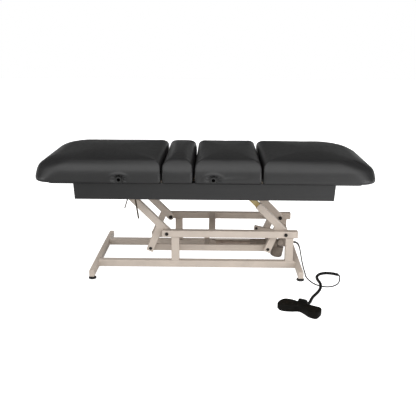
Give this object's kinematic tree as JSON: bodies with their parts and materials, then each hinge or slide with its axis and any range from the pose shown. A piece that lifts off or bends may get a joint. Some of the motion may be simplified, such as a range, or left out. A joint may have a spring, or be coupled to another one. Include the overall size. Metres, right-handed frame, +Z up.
{
  "type": "treatment table",
  "caption": "Height-adjustable padded treatment table with a sectioned top, a parallelogram lift with an electric actuator, and a rocker foot switch on a cord.",
  "frame": {"origin": "middle of the box of everything but the free cord, at floor level", "axes": "+X along the table towards the leg section, +Y towards the rear, +Z up"},
  "size_m": [1.86, 1.2578, 0.6711],
  "materials": {
    "frame_paint": "semi-gloss putty beige enamel",
    "black_rubber": "matt moulded rubber",
    "bolt_black": "black oxide",
    "steel": "turned steel",
    "zinc_steel": "yellow zinc plate",
    "chrome_rod": "polished chrome",
    "motor_plastic": "fine texture dark grey",
    "vinyl_over_foam": "black grained vinyl over foam",
    "apron_vinyl": "black grained vinyl over plywood",
    "deck_wood": "plain plywood",
    "spring_black": "gloss black",
    "socket_steel": "dark steel",
    "pedal_plastic": "moulded black plastic",
    "cord_rubber": "satin black sheath"
  },
  "bodies": {
    "base": {"bottom_rail_front": "frame_paint", "bottom_rail_rear": "frame_paint", "end_tube_left": "frame_paint", "end_tube_right": "frame_paint", "upright_front_left": "frame_paint", "upright_front_right": "frame_paint", "upright_rear_left": "frame_paint", "upright_rear_right": "frame_paint", "upper_rail_front": "frame_paint", "upper_rail_rear": "frame_paint", "cross_tube_middle": "frame_paint", "actuator_mount": "frame_paint", "foot_front_left": "black_rubber", "foot_front_right": "black_rubber", "foot_rear_left": "black_rubber", "foot_rear_right": "black_rubber", "pivot_bolt_front_left": "bolt_black", "pivot_bolt_front_right": "bolt_black", "pivot_bolt_rear_left": "bolt_black", "pivot_bolt_rear_right": "bolt_black", "pedal_base": "pedal_plastic", "pedal_cord": "cord_rubber", "pedal_cord_sleeve": "cord_rubber"},
    "left_crank": {"crank_front_left": "frame_paint", "crank_rear_left": "frame_paint", "crank_shaft_left": "steel"},
    "right_crank": {"crank_front_right": "frame_paint", "crank_rear_right": "frame_paint", "arm_channel_front": "zinc_steel", "arm_channel_rear": "zinc_steel", "crank_shaft_right": "steel"},
    "link": {"link_bar_front": "frame_paint", "link_bar_rear": "frame_paint", "link_cross_tube": "frame_paint"},
    "actuator": {"actuator_body": "motor_plastic"},
    "actuator_rod": {"actuator_rod": "chrome_rod"},
    "top_frame": {"top_rail_front": "frame_paint", "top_rail_rear": "frame_paint", "top_cross_left": "frame_paint", "top_cross_right": "frame_paint", "apron_front": "apron_vinyl", "apron_rear": "apron_vinyl", "apron_left": "apron_vinyl", "apron_right": "apron_vinyl", "deck_centre": "deck_wood", "cushion_narrow": "vinyl_over_foam", "cushion_seat": "vinyl_over_foam", "socket_tube_seat": "socket_steel"},
    "back_section": {"deck_back": "deck_wood", "cushion_back": "vinyl_over_foam", "socket_tube_back": "socket_steel"},
    "leg_section": {"deck_leg": "deck_wood", "cushion_leg": "vinyl_over_foam"},
    "back_gas_cylinder": {"gas_spring_back": "spring_black"},
    "back_gas_rod": {"gas_rod_back": "chrome_rod"},
    "leg_gas_cylinder": {"gas_spring_leg": "spring_black"},
    "leg_gas_rod": {"gas_rod_leg": "chrome_rod"},
    "back_release": {"release_lever_back": "bolt_black"},
    "leg_release": {"release_lever_leg": "bolt_black"},
    "pedal_rocker": {"pedal_rocker": "pedal_plastic"}
  },
  "joints": [
    {"name": "lift", "type": "hinge", "parent": "base", "child": "left_crank", "pos_m": [-0.219, 0.24655, 0.22], "axis": [0, 1, 0], "range_deg": [-32, 30]},
    {"name": "right_crank_turn", "type": "hinge", "parent": "base", "child": "right_crank", "pos_m": [0.462, 0.24655, 0.22], "axis": [0, 1, 0], "range_deg": [-32, 30]},
    {"name": "top_level", "type": "hinge", "parent": "left_crank", "child": "top_frame", "pos_m": [-0.49477, 0.24655, 0.49577], "axis": [0, 1, 0], "range_deg": [-30, 32]},
    {"name": "link_level", "type": "hinge", "parent": "left_crank", "child": "link", "pos_m": [-0.31634, 0.24655, 0.11882], "axis": [0, 1, 0], "range_deg": [-30, 32]},
    {"name": "actuator_tilt", "type": "hinge", "parent": "base", "child": "actuator", "pos_m": [0.452, 0.24655, 0.105], "axis": [0, 1, 0], "range_deg": [-7.52, 7.05]},
    {"name": "rod_tilt", "type": "hinge", "parent": "link", "child": "actuator_rod", "pos_m": [0.05, 0.24655, 0.1043], "axis": [0, 1, 0], "range_deg": [-7.52, 7.05]},
    {"name": "back_section_tilt", "type": "hinge", "parent": "top_frame", "child": "back_section", "pos_m": [-0.2925, 0.24655, 0.60757], "axis": [0, 1, 0], "range_deg": [0, 60]},
    {"name": "back_gas_cylinder_swing", "type": "hinge", "parent": "top_frame", "child": "back_gas_cylinder", "pos_m": [-0.2065, 0.24655, 0.45857], "axis": [0, 1, 0], "range_deg": [0, 30]},
    {"name": "back_gas_rod_swing", "type": "hinge", "parent": "back_section", "child": "back_gas_rod", "pos_m": [-0.3785, 0.24655, 0.45857], "axis": [0, 1, 0], "range_deg": [-30, 0]},
    {"name": "leg_section_tilt", "type": "hinge", "parent": "top_frame", "child": "leg_section", "pos_m": [0.3675, 0.24655, 0.60757], "axis": [0, -1, 0], "range_deg": [0, 35]},
    {"name": "leg_gas_cylinder_swing", "type": "hinge", "parent": "top_frame", "child": "leg_gas_cylinder", "pos_m": [0.2815, 0.24655, 0.45857], "axis": [0, -1, 0], "range_deg": [0, 17.5]},
    {"name": "leg_gas_rod_swing", "type": "hinge", "parent": "leg_section", "child": "leg_gas_rod", "pos_m": [0.4535, 0.24655, 0.45857], "axis": [0, -1, 0], "range_deg": [-17.5, 0]},
    {"name": "back_release_pull", "type": "hinge", "parent": "top_frame", "child": "back_release", "pos_m": [-0.388, -0.06845, 0.49997], "axis": [0, -1, 0], "range_deg": [0, 12], "stiffness_Nm_per_rad": 0.6},
    {"name": "leg_release_pull", "type": "hinge", "parent": "top_frame", "child": "leg_release", "pos_m": [-0.408, -0.06845, 0.49997], "axis": [0, 1, 0], "range_deg": [0, 12], "stiffness_Nm_per_rad": 0.6},
    {"name": "pedal_rock", "type": "hinge", "parent": "base", "child": "pedal_rocker", "pos_m": [0.4815, -0.52345, 0.023], "axis": [0.5736, 0.8192, 0], "range_deg": [-3, 3], "stiffness_Nm_per_rad": 4}
  ],
  "couplings": [
    {"joint": "right_crank_turn", "follows": "lift", "ratio": 1},
    {"joint": "top_level", "follows": "lift", "ratio": -1},
    {"joint": "link_level", "follows": "lift", "ratio": -1},
    {"joint": "actuator_tilt", "follows": "lift", "ratio": 0.235},
    {"joint": "rod_tilt", "follows": "lift", "ratio": 0.235},
    {"joint": "back_gas_cylinder_swing", "follows": "back_section_tilt", "ratio": 0.5},
    {"joint": "back_gas_rod_swing", "follows": "back_section_tilt", "ratio": -0.5},
    {"joint": "leg_gas_cylinder_swing", "follows": "leg_section_tilt", "ratio": 0.5},
    {"joint": "leg_gas_rod_swing", "follows": "leg_section_tilt", "ratio": -0.5}
  ]
}
